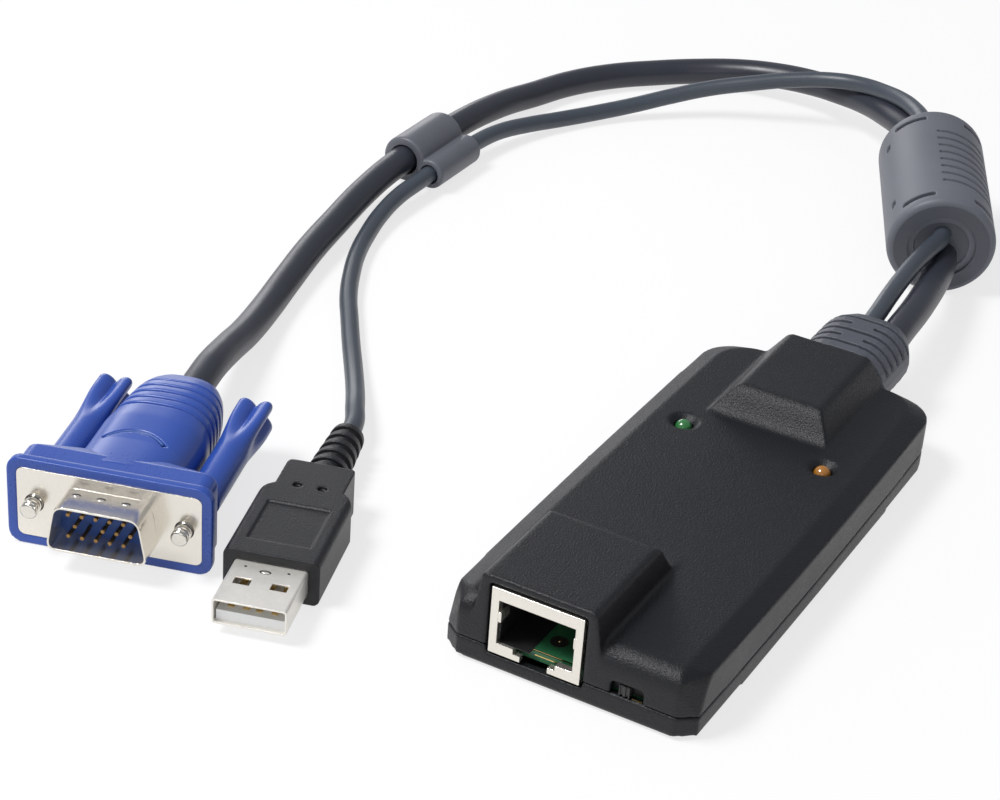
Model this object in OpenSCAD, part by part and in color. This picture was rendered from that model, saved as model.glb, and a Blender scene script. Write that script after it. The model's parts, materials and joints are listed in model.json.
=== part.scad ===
/* [Housing] */
// Length of the housing, front face to rear face
housing_len = 98.2; // [90:0.1:106]
// Width of the housing at its ends
housing_w = 42.9; // [41:0.1:48]
// Outward bow of each long side at mid-length
side_bow = 0.45; // [0:0.05:1.5]
// Height of the parting line between the two covers
part_z = 4.1; // [3.6:0.1:4.6]
// Height where the side walls turn into the deck bevel
shoulder_z = 10.2; // [9.4:0.1:10.8]
// Height of the deck
deck_z = 11.5; // [11.1:0.1:12.5]
// Width of the bevel along each side of the deck
bevel_w = 3.4; // [2.4:0.1:4]
// Radius of the rolled front edge of the deck
front_roll = 3.4; // [2.4:0.1:4]
// Wall thickness of the top cover
wall = 1.6; // [1.2:0.1:1.7]
// Floor thickness of the bottom cover
floor_t = 1.6; // [1.2:0.1:1.8]
// Radius of the rear corners in plan
rear_corner_r = 6.8; // [5:0.1:8]
// Front corner cut measured along the front face
corner_cut_x = 2.9; // [2:0.1:4]
// Front corner cut measured along the side at the parting line
corner_cut_y = 2.2; // [1.5:0.1:3]

/* [Jack tower] */
// Height of the tower over the socket
tower_z = 17; // [16.6:0.1:18]
// Width of the flat top of the tower
tower_w = 19.4; // [18.6:0.1:20.4]
// Length of the flat top of the tower
tower_len = 21.2; // [19:0.1:24]
// Outward lean of the tower sides per unit of height
tower_side_lean = 0.17; // [0.05:0.01:0.3]
// Outward lean of the tower rear per unit of height
tower_rear_lean = 0.65; // [0.2:0.05:0.9]

/* [Cord hump] */
// Height of the hump over the cord entry
hump_z = 16; // [15.8:0.1:17]
// Width of the flat top of the hump
hump_top_w = 15.4; // [14.8:0.1:17]
// Width of the hump where it meets the deck
hump_base_w = 22.2; // [21:0.1:24]
// Length of the hump along the deck
hump_len = 27; // [22:0.1:30]
// Length of the rolled front slope of the hump
hump_roll = 5.8; // [4:0.1:8]

/* [Network socket] */
// Width of the socket bezel
jack_w = 15.7; // [15.3:0.1:16.2]
// Height of the socket bezel
jack_h = 11.9; // [11.6:0.1:12.1]
// Depth of the socket body behind its bezel
jack_depth = 16; // [14:0.1:18]
// Sideways place of the socket centre
jack_x = -5.3; // [-5.8:0.1:-5]
// Gap between the bezel and the covers
jack_gap = 0.45; // [0.2:0.05:0.6]
// Width of the plug opening
port_w = 13; // [12.6:0.1:13.4]
// Height of the plug opening
port_h = 7.8; // [7.4:0.1:8]
// Number of contacts in the socket
jack_pins = 8; // [8:2:10]
// Pitch of the socket contacts
jack_pitch = 1.02; // [1:0.01:1.1]

/* [Circuit board] */
// Thickness of the board
board_t = 1.6; // [1:0.1:1.6]
// Height of the board's upper face
board_z = 5; // [4.9:0.1:5.1]
// Space between the board and the walls
board_gap = 0.3; // [0.2:0.1:1]

/* [Indicators and switch] */
// Diameter of each indicator lamp
led_d = 3; // [2.6:0.1:3.2]
// Distance between the two indicator lamps
led_span = 25.7; // [23:0.1:27]
// Place of the lamps behind the middle of the housing
led_y = 17.2; // [10:0.1:18]
// Width of the dished recess round each lamp
led_dish_d = 5.6; // [5:0.1:6.2]
// Width of the switch button
switch_knob_w = 1.8; // [1.4:0.1:2]
// Width of the switch window
switch_window_w = 5.4; // [5.2:0.1:6]
// Left edge of the switch window
switch_x = 7.6; // [7.4:0.1:8.4]

/* [Cords] */
// Diameter of the video cord
vga_cord_d = 5.8; // [5:0.1:6]
// Diameter of the data cord
usb_cord_d = 3.5; // [3:0.1:3.6]
// Diameter of the ferrite overmould
ferrite_d = 21.4; // [20:0.1:21.5]
// Diameter of the sleeve lobe round the video cord
clip_big_d = 9.8; // [9:0.1:9.9]
// Diameter of the sleeve lobe round the data cord
clip_small_d = 6.4; // [6.2:0.1:7.6]
// Length of the cord clip
clip_len = 16.5; // [14:0.5:22]

/* [Strain relief] */
// Width of the strain relief at its root
relief_w = 17.4; // [16:0.1:18]
// Height of the strain relief at its root
relief_h = 12.6; // [11.6:0.1:12.8]
// Width of the strain relief at its free end
relief_tip_w = 14; // [13:0.1:15]
// Height of the strain relief at its free end
relief_tip_h = 9.8; // [9.2:0.1:11]
// Number of flexing grooves
relief_grooves = 5; // [3:1:6]
// Width of each flexing groove
relief_groove_w = 0.9; // [0.5:0.1:1.2]

/* [Video plug] */
// Width of the moulded rim
vga_rim_w = 34.2; // [33.4:0.1:35]
// Height of the moulded rim
vga_rim_h = 16; // [15:0.1:16]
// Width of the steel flange
vga_flange_w = 30.8; // [30.6:0.1:31]
// Height of the steel flange
vga_flange_h = 12.6; // [12.4:0.1:12.8]
// Distance between the jackscrews
jackscrew_span = 24.99; // [24.8:0.01:25.2]
// Outer width of the plug shell at its wide side
vga_shell_w = 16.92; // [16.8:0.01:17]
// Outer height of the plug shell
vga_shell_h = 8.36; // [8.2:0.01:8.5]
// Projection of the plug shell from the flange
vga_shell_len = 5.9; // [5.5:0.1:6.2]
// Pitch of the pins along a row
vga_pitch = 2.29; // [2.2:0.01:2.3]
// Pitch of the pin rows
vga_row_pitch = 1.98; // [1.9:0.01:2]
// Length of the hood from the flange to the cord
vga_hood_len = 38.4; // [37:0.1:40]
// Width of the hood between the jackscrew shanks
vga_hood_w = 18; // [17:0.1:18.2]
// Height of the hood
vga_hood_h = 14.2; // [13:0.1:14.6]
// Thread diameter of the jackscrews
jackscrew_d = 2.84; // [2.6:0.01:2.9]
// Length of thread standing in front of the flange
jackscrew_tip = 2.8; // [2:0.1:3.4]
// Diameter of the jackscrew shank
knob_shank_d = 6; // [5.6:0.1:6.2]
// Diameter over the lobes of the jackscrew head
knob_head_d = 7.8; // [7.4:0.1:8]

/* [Data plug] */
// Width of the plug shell
usb_shell_w = 12; // [11.9:0.1:12.1]
// Height of the plug shell
usb_shell_h = 4.5; // [4.4:0.1:4.6]
// Length of the shell in front of the overmould
usb_shell_len = 11.3; // [10:0.1:12]
// Width of the overmould
usb_body_w = 15.8; // [15:0.1:16.4]
// Height of the overmould
usb_body_h = 8.1; // [7.6:0.1:8.1]
// Length of the wide part of the overmould
usb_body_len = 19.2; // [17:0.1:21]
// Width of the narrow rear part of the overmould
usb_neck_w = 11.6; // [10:0.1:12.6]
// Length of the narrow rear part with its shoulder
usb_neck_len = 9.2; // [8:0.1:11]
// Length of the ribbed boot
usb_boot_len = 15.8; // [13:0.1:18]
// Diameter of the ribbed boot at its root
usb_boot_d = 7.4; // [6.8:0.1:7.6]
// Diameter of the ribbed boot at its tip
usb_boot_tip_d = 5.8; // [5.4:0.1:6.2]
// Number of ribs on the boot
usb_ribs = 5; // [3:1:6]

/* [Hidden] */
$fn = 48;

// Overrun of every cut past the face that it opens
over = 1;
// Thickness of the thin slices that a hull joins
skin = 0.05;
// Running clearance between pieces that nearly touch
fit = 0.1;
// Straight steps along each curved stretch of an outline
curve_steps = 6;
// Straight steps down the front slope of the hump
roll_steps = 12;
// Straight steps along a bowed side
bow_steps = 10;

// Routes of the two cords, from the strain relief to the plugs
vga_route = [
    [5.7, 66, 10.8], [5.4, 71, 10.9], [4.9, 79, 10.6], [3.9, 88, 10], [2.7, 96, 9.2], [1.4, 103, 8.7],
    [0, 108, 8.6], [-15.5, 141, 11.8], [-17.2, 144.6, 12], [-22.5, 152.4, 11.6], [-28, 158, 11],
    [-34, 163.8, 10.1], [-41, 169.6, 9], [-49, 174.2, 7.7], [-58, 177.3, 6.6], [-67, 178.1, 5.6],
    [-75.5, 177, 4.6], [-84, 173.6, 3.6], [-92, 167.6, 3.1], [-99.5, 159.4, 3], [-105, 150, 3],
    [-108.5, 139, 3.2], [-110.5, 127, 4.4], [-111.4, 108, 5.6], [-111.4, 84, 5.6], [-110.6, 71, 5],
    [-109, 58, 4], [-107, 46, 3.5], [-104, 33, 3.1], [-100.8, 21, 3.2], [-97.3, 9, 4.5],
    [-94.6, -0.5, 6.4], [-92, -9.2, 7.9], [-90.8, -13.2, 8.1], [-88.4, -21.3, 8.1]
];
usb_route = [
    [1, 66, 12.6], [0.7, 71, 12.9], [0, 79, 13.1], [-0.6, 87, 13.1], [-0.9, 94, 13.1],
    [-0.8, 101, 13.2], [-0.7, 108, 13.4], [-16.2, 141, 16.6], [-18, 144.6, 16.7], [-21.8, 151.2, 16.5],
    [-26.5, 157.8, 15.7], [-31, 162.3, 14.9], [-36, 165.8, 14], [-42.4, 168.6, 13.1],
    [-49.5, 169.2, 12.1], [-58, 166.9, 10.7], [-66.5, 163, 8.9], [-74.5, 158.8, 7], [-81.5, 153.5, 5],
    [-87.5, 147.8, 3.3], [-93, 141, 2.4], [-98, 132.5, 2.4], [-101.6, 124.5, 3], [-104.2, 116, 3.7],
    [-105.2, 108, 3.9], [-105.2, 84, 3.9], [-105.3, 76, 3.6], [-104.6, 68, 2.8], [-102.8, 60, 2.1],
    [-100.1, 52, 1.9], [-96.4, 44, 1.9], [-92, 36, 1.9], [-87, 28.5, 1.9], [-81.7, 20.7, 1.9],
    [-76.2, 12.8, 2.2], [-70.9, 4.9, 3], [-67.2, -1.1, 3.9], [-64.5, -5.6, 4.1], [-62.8, -10.3, 4.1]
];
// Ends of the ferrite on its axis, between the two cords
ferrite_near = [-0.5, 108, 10.8];
ferrite_far = [-16, 141, 14];
// Heading of each plug, turned to the left of straight ahead
vga_yaw = 16.7;
usb_yaw = 16.6;
// Point of each route where the clip's straight stretch begins
vga_clip_point = 23;
usb_clip_point = 24;
// Sides of each cord's tube
vga_cord_sides = 12;
usb_cord_sides = 8;

// Quadratic curve from a to c with its corner at b
function curve(a, b, c, n = curve_steps) =
    [for (i = [0:n]) let (t = i / n) a * pow(1 - t, 2) + b * 2 * t * (1 - t) + c * pow(t, 2)];

// Points on an arc
function arc(cx, cy, r, a0, a1, n) =
    [for (i = [0:n]) let (a = a0 + (a1 - a0) * i / n) [cx + r * cos(a), cy + r * sin(a)]];

// Rectangle with rounded corners, centred
function rounded(w, h, r) = concat(
    arc(w / 2 - r, h / 2 - r, r, 0, 90, curve_steps),
    arc(-w / 2 + r, h / 2 - r, r, 90, 180, curve_steps),
    arc(-w / 2 + r, -h / 2 + r, r, 180, 270, curve_steps),
    arc(w / 2 - r, -h / 2 + r, r, 270, 360, curve_steps)
);

// Outline seen from the front, standing from y0 to y1
module front_view(points, y0, y1, x = 0, z = 0) {
    translate([x, y1, z])
        rotate([90, 0, 0])
            linear_extrude(height = y1 - y0)
                polygon(points);
}

// Outline seen from the side, as y and z, centred on x
module side_view(points, w, x = 0) {
    translate([x - w / 2, 0, 0])
        rotate([90, 0, 90])
            linear_extrude(height = w)
                polygon(points);
}

// Box between two corners
module span(a, b) {
    translate(a)
        cube(b - a);
}

// Round bar along y
module rod_y(x, z, d, y0, y1) {
    translate([x, y0, z])
        rotate([-90, 0, 0])
            cylinder(d = d, h = y1 - y0);
}

function unit(v) = v / norm(v);

// Ring of points round a route at one of its points
function ring(p, i, r, sides) = let (
    last = len(p) - 1,
    t = unit(p[min(i + 1, last)] - p[max(i - 1, 0)]),
    s = unit(cross(t, [0, 0, 1])),
    u = cross(s, t)
) [for (k = [0:sides - 1]) let (a = 360 * (k + 0.5) / sides) p[i] + r * (cos(a) * s + sin(a) * u)];

// Tube swept along a route
module swept(p, d, sides) {
    rings = [for (i = [0:len(p) - 1]) each ring(p, i, d / 2, sides)];
    last = (len(p) - 1) * sides;
    walls = [for (i = [0:len(p) - 2]) for (k = [0:sides - 1])
        let (a = i * sides + k, b = i * sides + (k + 1) % sides)
            each [[a, b + sides, b], [a, a + sides, b + sides]]];
    caps = [for (k = [1:sides - 2]) each [[0, k, k + 1], [last, last + k + 1, last + k]]];
    polyhedron(points = rings, faces = concat(walls, caps));
}

// Places children drawn along +z so that they run from one point towards another
module along(a, b) {
    d = b - a;
    translate(a)
        rotate([0, acos(d.z / norm(d)), atan2(d.y, d.x)])
            children();
}

// Housing

// Depth of the rear edge's round-off at deck height
rear_inset = 1.2;
// Growth of the corner cut along the side from parting line to shoulder
corner_sweep = 2.6;
// Corner cut that is left at deck height
deck_corner_cut = 0.4;
// Bevel along the bottom edge
foot_bevel = 0.7;
// Rounding of the tower's and hump's top edges
edge_round = 0.9;
// Run of the concave foot behind the tower
tower_foot_len = 4.4;
// Height of the concave foot behind the tower
tower_foot_h = 0.8;

half_w = housing_w / 2;
front_y = -housing_len / 2;
rear_y = housing_len / 2;
roll_z = deck_z - front_roll;

// Share of the deck bevel that a height has passed
function bevel_share(z) = max(0, (z - shoulder_z) / (deck_z - shoulder_z));

// Share of the side wall that a height has passed
function side_share(z) = min(1, (z - part_z) / (shoulder_z - part_z));

// Inset of the rolled front edge at a height
function roll_in(z) = z <= roll_z ? 0 : front_roll - sqrt(max(0, pow(front_roll, 2) - pow(z - roll_z, 2)));

// Right half of a plan outline, from its front edge to its rear edge
function half_plan(w, yf, yr, cx, cy, r, bow) = concat(
    [[w - cx, yf]],
    [for (i = [0:bow_steps]) let (t = i / bow_steps)
        [w + bow * (1 - pow(2 * t - 1, 2)), yf + cy + (yr - r - yf - cy) * t]],
    [for (p = arc(w - r, yr - r, r, 0, 90, curve_steps)) if (p.y > yr - r) p]
);

// Whole plan outline
function plan(w, yf, yr, cx, cy, r, bow) = let (h = half_plan(w, yf, yr, cx, cy, r, bow))
    concat(h, [for (i = [len(h) - 1:-1:0]) [-h[i].x, h[i].y]]);

// Thin slice of the top cover's body at a height, drawn in by a wall
module body_slice(z, in) {
    s = bevel_share(z);
    translate([0, 0, z - skin])
        linear_extrude(height = skin)
            polygon(plan(
                half_w - in - bevel_w * s,
                front_y + in + roll_in(z),
                rear_y - in - rear_inset * s,
                corner_cut_x + (deck_corner_cut - corner_cut_x) * s,
                (corner_cut_y + corner_sweep * side_share(z)) * (1 - s) + deck_corner_cut * s,
                rear_corner_r - in,
                side_bow
            ));
}

// Body of the top cover, drawn in by a wall
module body_form(in) {
    roll_heights = [for (a = [0:15:90]) roll_z + front_roll * sin(a)];
    hull()
        for (z = concat([part_z + skin, shoulder_z], roll_heights))
            body_slice(z, in);
}

// Tower over the socket, drawn in by a wall
tower_half = tower_w / 2;
tower_rear = front_y + tower_len;
tower_drop = tower_z - part_z;
foot_y = tower_rear + (tower_z - deck_z) * tower_rear_lean;
module tower_form(in) {
    half = tower_half - in;
    low = half + tower_drop * tower_side_lean;
    intersection() {
        front_view(concat(
            [[-low, part_z], [low, part_z]],
            curve(
                [half + edge_round * tower_side_lean, tower_z - edge_round],
                [half, tower_z],
                [half - edge_round, tower_z]
            ),
            curve(
                [-half + edge_round, tower_z],
                [-half, tower_z],
                [-half - edge_round * tower_side_lean, tower_z - edge_round]
            )
        ), front_y + in, foot_y + tower_foot_len, jack_x);
        side_view(concat(
            [[front_y + in, part_z], [front_y + in, tower_z]],
            curve(
                [tower_rear - in - edge_round, tower_z],
                [tower_rear - in, tower_z],
                [tower_rear - in + edge_round * tower_rear_lean, tower_z - edge_round]
            ),
            curve(
                [foot_y - in - tower_foot_h * tower_rear_lean, deck_z + tower_foot_h],
                [foot_y - in, deck_z],
                [foot_y - in + tower_foot_len, deck_z]
            ),
            [[foot_y - in + tower_foot_len, part_z]]
        ), housing_w, jack_x);
    }
}

// Hump over the cord entry, drawn in by a wall
hump_y = rear_y - hump_len;
hump_rise = hump_z - deck_z;
hump_lean = (hump_base_w - hump_top_w) / 2 / hump_rise;
module hump_form(in) {
    half = hump_top_w / 2 - in;
    low = half + (hump_z - part_z) * hump_lean;
    y0 = hump_y + in;
    intersection() {
        front_view(concat(
            [[-low, part_z], [low, part_z]],
            curve(
                [half + edge_round * hump_lean, hump_z - edge_round],
                [half, hump_z],
                [half - edge_round, hump_z]
            ),
            curve(
                [-half + edge_round, hump_z],
                [-half, hump_z],
                [-half - edge_round * hump_lean, hump_z - edge_round]
            )
        ), y0, rear_y - in);
        side_view(concat(
            [[rear_y - in, part_z], [rear_y - in, hump_z]],
            [for (a = [180:-180 / roll_steps:0])
                [y0 + hump_roll * a / 180, deck_z + hump_rise * (1 - cos(a)) / 2]],
            [[y0, part_z]]
        ), housing_w);
    }
}

// Everything inside the outer face of the top cover, drawn in by a wall and lowered by it
module cover_form(in) {
    translate([0, 0, -in]) {
        body_form(in);
        tower_form(in);
        hump_form(in);
    }
}

// Screws that close the housing
screw_d = 2.4;
screw_head_d = 4.4;
screw_head_h = 1.3;
screw_len = 6.4;
boss_d = 4.8;
standoff_d = 6.4;
boss_inset = 6.2;
boss_front_y = -27;
boss_rear_y = 30;
screw_places = [[half_w - boss_inset, boss_front_y], [-half_w + boss_inset, boss_rear_y]];
support_places = [[-half_w + boss_inset, boss_front_y], [half_w - boss_inset, boss_rear_y]];
board_low = board_z - board_t;
head_seat = screw_head_h + fit;

// Neck of the strain relief in the rear wall
neck_w = 13;
neck_low = 5.3;
neck_top = 13.6;
neck_r = 3;
flange_over = 1;
flange_t = 1.4;
// Sideways place and height of the strain relief's axis
relief_x = 2.2;
relief_z = 9.7;

// Network socket
bezel_t = 1.3;
shield_t = 0.4;
jack_head_room = 0.25;
jack_body_in = 0.3;
port_lip = 2.15;
key_w = 4.7;
key_step_w = 7.2;
key_step_h = 0.9;
port_depth = 12.6;
jack_top = tower_z - wall - jack_head_room;
jack_base = jack_top - jack_h;
port_top = jack_top - port_lip;
port_low = port_top - port_h;

// Slide switch
knob_h = 1.8;
knob_low = part_z + 2 * fit;
knob_proud = 0.2;
knob_rest = 1.4;
switch_window_top = 6.4;
switch_body_h = 2.4;
switch_body_len = 3.6;
switch_slot_h = 1.1;
switch_stem_w = 1.2;
switch_body_x = switch_x - 2 * fit;
switch_body_w = switch_window_w + 4 * fit;
switch_body_y = front_y + wall + board_gap;
switch_stem_z = board_z + (switch_body_h - switch_slot_h) / 2;
knob_back = switch_body_y - fit;

// Indicator lamps
led_dish_depth = 0.8;
led_dish_floor_d = 3.8;
led_proud = 0.1;
led_flange_d = 3.8;
led_flange_h = 1;
led_body_h = 5;
led_leg_d = 0.5;
led_leg_pitch = 1.6;
led_low = deck_z + led_proud - led_body_h;

// Screw hole, its head's seat and the hole up to the top cover's boss
module screw_cuts() {
    for (p = screw_places)
        translate([p.x, p.y, -over]) {
            cylinder(d = screw_head_d + 2 * fit, h = head_seat + over);
            cylinder(d = screw_d + 2 * fit, h = board_z + over);
        }
}

module top_cover() {
    color("#2b2c2e")
    difference() {
        union() {
            difference() {
                cover_form(0);
                cover_form(wall);
            }
            for (p = screw_places)
                translate([p.x, p.y, board_z])
                    cylinder(d = boss_d, h = deck_z - wall / 2 - board_z);
        }
        // socket window
        span(
            [jack_x - jack_w / 2 - jack_gap, front_y - over, part_z - over],
            [jack_x + jack_w / 2 + jack_gap, front_y + wall + over, jack_top + jack_gap]
        );
        // switch window
        span(
            [switch_x, front_y - over, part_z - over],
            [switch_x + switch_window_w, front_y + wall + over, switch_window_top]
        );
        // neck of the strain relief
        front_view(rounded(neck_w + 2 * fit, 2 * (neck_top + fit - part_z), neck_r),
            rear_y - wall - over, rear_y + over, relief_x, part_z);
        for (side = [-1, 1])
            translate([side * led_span / 2, led_y, 0]) {
                cylinder(d = led_d + 2 * fit, h = tower_z);
                translate([0, 0, deck_z - led_dish_depth])
                    cylinder(d1 = led_dish_floor_d, d2 = led_dish_d, h = led_dish_depth + skin);
            }
        for (p = screw_places)
            translate([p.x, p.y, board_z - over])
                cylinder(d = screw_d, h = screw_len - board_z + head_seat + over);
    }
}

// Solid tray that the bottom cover is cut from, on a foot drawn in from its edge
module tray() {
    linear_extrude(height = part_z)
        polygon(plan(half_w - foot_bevel, front_y + foot_bevel, rear_y - foot_bevel,
            corner_cut_x, corner_cut_y, rear_corner_r - foot_bevel, side_bow));
    translate([0, 0, foot_bevel])
        linear_extrude(height = part_z - foot_bevel)
            polygon(plan(half_w, front_y, rear_y, corner_cut_x, corner_cut_y, rear_corner_r, side_bow));
}

// Plan of the space inside the walls, drawn in further by a gap
module inner_plan(gap) {
    in = wall + gap;
    polygon(plan(half_w - in, front_y + in, rear_y - in, corner_cut_x, corner_cut_y, rear_corner_r - in, 0));
}

module bottom_cover() {
    color("#27282a")
    difference() {
        union() {
            difference() {
                tray();
                translate([0, 0, floor_t])
                    linear_extrude(height = part_z)
                        inner_plan(0);
            }
            for (p = concat(screw_places, support_places))
                translate([p.x, p.y, floor_t / 2])
                    cylinder(d = standoff_d, h = board_low - floor_t / 2);
            // tongue under the neck of the strain relief
            span([relief_x - neck_w / 2, rear_y - wall, part_z - wall],
                [relief_x + neck_w / 2, rear_y, neck_low - fit]);
        }
        screw_cuts();
        span(
            [jack_x - jack_w / 2 - jack_gap, front_y - over, jack_base - jack_gap],
            [jack_x + jack_w / 2 + jack_gap, front_y + wall + over, part_z + over]
        );
    }
}

module cover_screws() {
    color("silver")
    for (p = screw_places)
        translate([p.x, p.y, fit])
            difference() {
                union() {
                    cylinder(d = screw_head_d, h = screw_head_h);
                    cylinder(d = screw_d, h = screw_len + screw_head_h);
                }
                translate([0, 0, -over])
                    cylinder(d = screw_d * 0.7, h = over + screw_head_h / 2, $fn = 6);
            }
}

module main_board() {
    color("#1f5c3a")
    difference() {
        translate([0, 0, board_low])
            linear_extrude(height = board_t)
                inner_plan(board_gap);
        for (p = screw_places)
            translate([p.x, p.y, 0])
                cylinder(d = screw_d + 4 * fit, h = deck_z);
    }
}

// Network socket

module jack_shield() {
    inner = jack_w / 2 - jack_body_in;
    color("#a9a49a")
    difference() {
        union() {
            span([jack_x - jack_w / 2, front_y, jack_base], [jack_x + jack_w / 2, front_y + bezel_t, jack_top]);
            span([jack_x - inner, front_y + bezel_t, board_z],
                [jack_x + inner, front_y + jack_depth, jack_top - jack_body_in]);
        }
        span([jack_x - inner + shield_t, front_y + bezel_t, board_z - over],
            [jack_x + inner - shield_t, front_y + jack_depth - shield_t, jack_top - jack_body_in - shield_t]);
        span([jack_x - port_w / 2, front_y - over, port_low], [jack_x + port_w / 2, front_y + wall, port_top]);
        span([jack_x - key_step_w / 2, front_y - over, port_low - key_step_h],
            [jack_x + key_step_w / 2, front_y + bezel_t + over, port_low + over]);
        span([jack_x - key_w / 2, front_y - over, jack_base - over],
            [jack_x + key_w / 2, front_y + bezel_t + over, port_low + over]);
    }
}

module jack_insert() {
    half = jack_w / 2 - jack_body_in - shield_t;
    color("#1b1c1e")
    difference() {
        span([jack_x - half, front_y + bezel_t, board_z],
            [jack_x + half, front_y + jack_depth - shield_t, jack_top - jack_body_in - shield_t]);
        span([jack_x - port_w / 2, front_y - over, board_z - over],
            [jack_x + port_w / 2, front_y + port_depth, port_top]);
    }
}

// Spring contacts, from the roof of the opening back to its rear wall
contact_w = 0.45;
contact_t = 0.35;
contact_front_in = 3;
contact_drop = 2.3;
module jack_contacts() {
    y0 = front_y + contact_front_in;
    y1 = front_y + port_depth;
    color("gold")
    for (i = [0:jack_pins - 1])
        side_view([
            [y0, port_top],
            [y1, port_top - contact_drop],
            [y1, port_top - contact_drop - contact_t],
            [y0, port_top - contact_t]
        ], contact_w, jack_x + (i - (jack_pins - 1) / 2) * jack_pitch);
}

// Lamps

module lamp(shade) {
    color(shade) {
        translate([0, 0, led_low]) {
            cylinder(d = led_flange_d, h = led_flange_h);
            cylinder(d = led_d, h = led_body_h - led_d / 2);
            translate([0, 0, led_body_h - led_d / 2])
                intersection() {
                    sphere(d = led_d);
                    translate([-led_d, -led_d, 0])
                        cube(2 * led_d);
                }
        }
        for (side = [-1, 1])
            translate([side * led_leg_pitch / 2, 0, board_z])
                cylinder(d = led_leg_d, h = led_low - board_z + skin);
    }
}

module link_led() {
    translate([-led_span / 2, led_y, 0])
        lamp("#0e7a50");
}

module power_led() {
    translate([led_span / 2, led_y, 0])
        lamp("#c87512");
}

// Parts on the board

// Flat package with leads on two or four sides
module chip(x, y, w, len, h, leads, pitch, four_sided) {
    lead_w = pitch / 2;
    lead_reach = h * 0.8;
    lead_h = h / 3;
    translate([x, y, board_z]) {
        color("#202020")
            translate([-w / 2, -len / 2, 0])
                cube([w, len, h]);
        color("silver")
            for (turn = four_sided ? [0, 90, 180, 270] : [0, 180])
                rotate(turn)
                    for (i = [0:leads - 1])
                        translate([w / 2, (i - leads / 2 + 1 / 4) * pitch, 0])
                            cube([lead_reach, lead_w, lead_h]);
    }
}

controller_w = 12;
controller_h = 1.4;
controller_leads = 16;
controller_pitch = 0.65;
controller_y = -8;
video_chip_w = 7;
video_chip_h = 1.2;
video_chip_leads = 10;
video_chip_pitch = 0.55;
video_chip_x = 6.5;
video_chip_y = 14;
memory_w = 3.9;
memory_len = 4.9;
memory_h = 1.4;
memory_leads = 4;
memory_pitch = 1.27;
memory_x = -11;
memory_y = -9;
crystal_len = 11;
crystal_w = 4.4;
crystal_h = 3.4;
crystal_y = 2.5;

module controller_chip() {
    chip(0, controller_y, controller_w, controller_w, controller_h, controller_leads, controller_pitch, true);
}

module video_chip() {
    chip(video_chip_x, video_chip_y, video_chip_w, video_chip_w, video_chip_h,
        video_chip_leads, video_chip_pitch, true);
}

module memory_chip() {
    chip(memory_x, memory_y, memory_w, memory_len, memory_h, memory_leads, memory_pitch, false);
}

module crystal() {
    color("lightgray")
    translate([0, crystal_y, board_z])
        linear_extrude(height = crystal_h)
            polygon(rounded(crystal_len, crystal_w, crystal_w / 2));
}

// Capacitors and resistors
chip_part = [1.6, 0.8, 0.7];
chip_part_pitch = 2.4;
chip_part_count = 6;
chip_row_y = -20;
can_d = 4;
can_h = 4.4;
can_x = 14;
can_y = -8;
can_pitch = 5.5;
module board_parts() {
    color("tan")
    for (i = [0:chip_part_count - 1])
        translate([(i - chip_part_count / 2) * chip_part_pitch, chip_row_y, board_z])
            cube(chip_part);
    color("#3a3f4a")
    for (i = [0:2])
        translate([can_x, can_y + i * can_pitch, board_z])
            cylinder(d = can_d, h = can_h);
}

// Headers that take the cords' inner leads
header_pitch = 1.5;
header_len = 4.2;
header_h = 3.6;
header_y = 28;
header_wall = 0.9;
vga_wires = 6;
usb_wires = 4;
wire_d = 0.9;
vga_header_x = 3.4;
usb_header_x = -5.2;

module header(x, wires) {
    w = wires * header_pitch;
    color("ivory")
    difference() {
        translate([x - w / 2, header_y, board_z])
            cube([w, header_len, header_h]);
        translate([x - w / 2 + header_wall / 2, header_y - over, board_z + header_h - header_wall])
            cube([w - header_wall, header_len - header_wall + over, header_wall + over]);
    }
}

module vga_header() {
    header(vga_header_x, vga_wires);
}

module usb_header() {
    header(usb_header_x, usb_wires);
}

// Inner leads, from a header's rear face to the flange of the strain relief
flange_y = rear_y - wall - fit - flange_t;
lead_z = board_z + header_h / 2;
lead_lift = 2.2;
module leads(x, wires, shades) {
    run = flange_y - header_y - header_len;
    for (i = [0:wires - 1]) {
        lead_x = x + (i - (wires - 1) / 2) * header_pitch;
        color(shades[i % len(shades)])
            swept([for (t = [0:0.2:1])
                [lead_x * (1 - t / 5), header_y + header_len + run * t, lead_z + lead_lift * (1 - cos(180 * t)) / 2]
            ], wire_d, usb_cord_sides);
    }
}

module vga_leads() {
    leads(vga_header_x, vga_wires, ["firebrick", "seagreen", "royalblue", "dimgray", "khaki"]);
}

module usb_leads() {
    leads(usb_header_x, usb_wires, ["red", "white", "green", "black"]);
}

// Slide switch

module switch_body() {
    color("#8f9296")
    difference() {
        translate([switch_body_x, switch_body_y, board_z])
            cube([switch_body_w, switch_body_len, switch_body_h]);
        translate([switch_x, switch_body_y - over, switch_stem_z])
            cube([switch_window_w, over + switch_body_len / 2, switch_slot_h]);
    }
}

module switch_slider() {
    groove_w = switch_knob_w / 4;
    x0 = switch_x + knob_rest;
    color("#141416")
    difference() {
        union() {
            span([x0, front_y + knob_proud, knob_low], [x0 + switch_knob_w, knob_back, knob_low + knob_h]);
            span([x0 + (switch_knob_w - switch_stem_w) / 2, knob_back - fit, switch_stem_z + fit],
                [x0 + (switch_knob_w + switch_stem_w) / 2, switch_body_y + switch_body_len / 2 - fit,
                    switch_stem_z + switch_slot_h - fit]);
        }
        for (i = [1:2:3])
            span([x0 + (i - 1 / 2) * groove_w, front_y, knob_low - over],
                [x0 + (i + 1 / 2) * groove_w, front_y + 2 * knob_proud, knob_low + knob_h + over]);
    }
}

// Strain relief

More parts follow.
